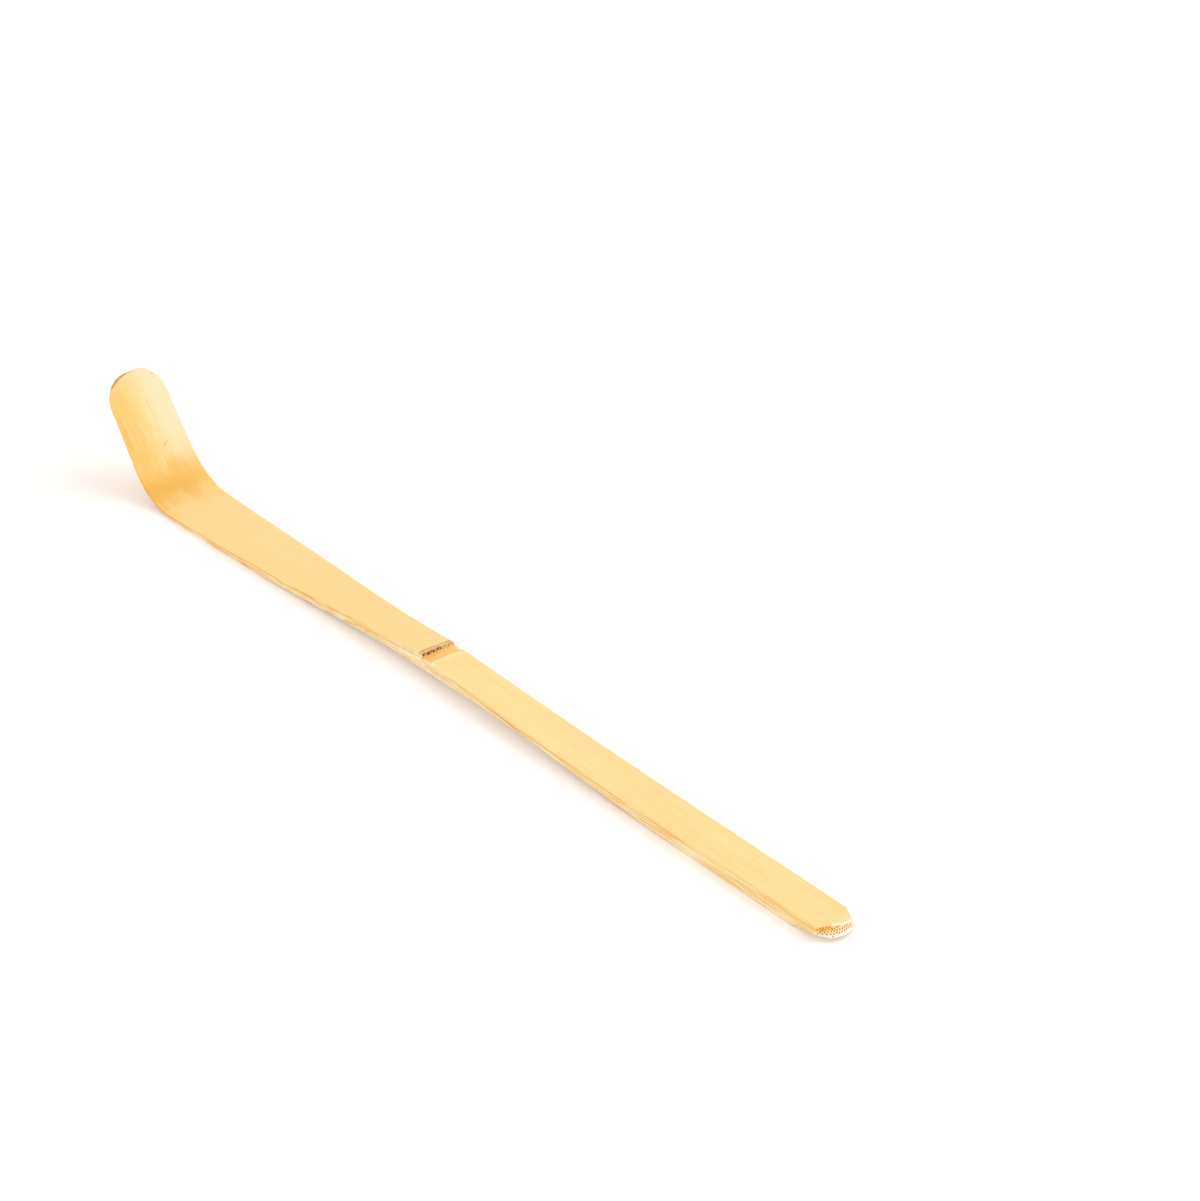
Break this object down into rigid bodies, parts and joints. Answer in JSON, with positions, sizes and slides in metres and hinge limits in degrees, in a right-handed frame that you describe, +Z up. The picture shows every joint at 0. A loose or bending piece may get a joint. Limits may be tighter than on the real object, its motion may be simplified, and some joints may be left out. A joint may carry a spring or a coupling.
{
  "type": "tea scoop",
  "caption": "Slim bamboo tea scoop carved from one split strip: upturned rounded blade, toasted bend, node at mid length, slender handle with a trimmed end.",
  "frame": {"origin": "centre of the scoop's footprint, on the surface that it rests on", "axes": "+X along the scoop from the blade to the cut end of the handle, +Y across it, +Z up, out of the culm's outer side"},
  "size_m": [0.1806, 0.0118, 0.0183],
  "materials": {
    "bamboo": "satin culm skin on the upper face, bare knife-cut fibre on the flanks, toasted at the bend"
  },
  "bodies": {
    "root": {"bamboo_scoop": "bamboo"}
  },
  "joints": []
}
